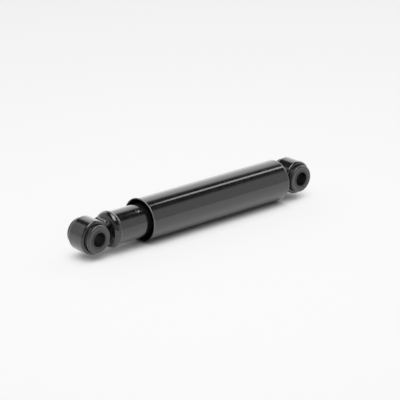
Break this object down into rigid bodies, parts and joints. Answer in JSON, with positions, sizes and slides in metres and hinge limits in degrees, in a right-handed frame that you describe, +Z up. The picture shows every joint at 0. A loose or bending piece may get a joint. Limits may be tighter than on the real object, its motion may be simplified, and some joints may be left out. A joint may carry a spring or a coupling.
{
  "type": "shock absorber",
  "caption": "Twin-tube hydraulic shock absorber with a rubber-bushed eye at each end and a full-length dust cover, shown fully closed.",
  "frame": {"origin": "centre of the base eye's bore, midway along the bore", "axes": "+X along the piston rod from the base eye to the rod eye, +Y along both eye bores, +Z up; the part lies on its dust cover, 35 mm below the origin"},
  "size_m": [0.507, 0.0736, 0.0736],
  "materials": {
    "gloss_paint": "glossy black paint with fine handling scuffs",
    "satin_rubber": "moulded black rubber with a slight sheen",
    "painted_bore": "black paint, thin on the inside of the bore",
    "weld_bead": "black paint over a rippled weld",
    "bright_rod": "hard chrome, ground and polished",
    "plain_steel": "drawn or turned steel, oiled",
    "sintered_iron": "sintered iron, matt grey",
    "spring_steel": "hardened strip and wire",
    "bearing_bronze": "bronze lining",
    "slide_plastic": "filled slide band, dark",
    "seal_rubber": "oil resistant rubber"
  },
  "bodies": {
    "base": {"base_eye_ring": "gloss_paint", "base_eye_bush": "satin_rubber", "base_eye_weld": "weld_bead", "base_cap": "gloss_paint", "base_cap_weld": "weld_bead", "reservoir_tube": "gloss_paint", "pressure_tube": "plain_steel", "foot_valve_body": "sintered_iron", "foot_valve_discs": "spring_steel", "foot_valve_bolt": "plain_steel", "intake_stop_nut": "plain_steel", "intake_spring": "spring_steel", "rod_guide": "sintered_iron", "guide_bush": "bearing_bronze", "guide_seal_ring": "seal_rubber", "seal_carrier": "plain_steel", "rod_seal": "seal_rubber", "retaining_nut": "plain_steel", "wiper": "seal_rubber"},
    "base_sleeve": {"base_eye_sleeve": "painted_bore"},
    "intake_valve": {"intake_plate": "spring_steel"},
    "slide_band": {"piston_band": "slide_plastic"},
    "rod_assembly": {"piston_rod": "bright_rod", "piston": "sintered_iron", "piston_nut": "plain_steel", "rebound_discs": "spring_steel", "check_hub": "plain_steel", "check_spring": "spring_steel", "stop_washer": "plain_steel", "rebound_collar": "plain_steel", "rebound_bumper": "seal_rubber", "dust_cover": "gloss_paint", "cover_washer": "plain_steel", "cover_weld": "weld_bead", "rod_eye_ring": "gloss_paint", "rod_eye_bush": "satin_rubber", "rod_eye_weld": "weld_bead"},
    "check_valve": {"check_plate": "spring_steel"},
    "rod_sleeve": {"rod_eye_sleeve": "painted_bore"}
  },
  "joints": [
    {"name": "base_sleeve_twist", "type": "hinge", "parent": "base", "child": "base_sleeve", "pos_m": [0, 0, 0], "axis": [0, 1, 0], "range_deg": [-15, 15], "stiffness_Nm_per_rad": 60},
    {"name": "intake_lift", "type": "slide", "parent": "base", "child": "intake_valve", "axis": [1, 0, 0], "range_m": [0, 0.001], "stiffness_N_per_m": 400, "springref_m": -0.002, "deforming": ["intake_spring"]},
    {"name": "stroke", "type": "slide", "parent": "base", "child": "slide_band", "axis": [1, 0, 0], "range_m": [0, 0.26]},
    {"name": "rod_turn", "type": "hinge", "parent": "slide_band", "child": "rod_assembly", "pos_m": [0.0855, 0, 0], "axis": [1, 0, 0], "continuous": true},
    {"name": "check_lift", "type": "slide", "parent": "rod_assembly", "child": "check_valve", "axis": [1, 0, 0], "range_m": [0, 0.001], "stiffness_N_per_m": 400, "springref_m": -0.002, "deforming": ["check_spring"]},
    {"name": "rod_sleeve_twist", "type": "hinge", "parent": "rod_assembly", "child": "rod_sleeve", "pos_m": [0.45, 0, 0], "axis": [0, 1, 0], "range_deg": [-15, 15], "stiffness_Nm_per_rad": 60}
  ]
}
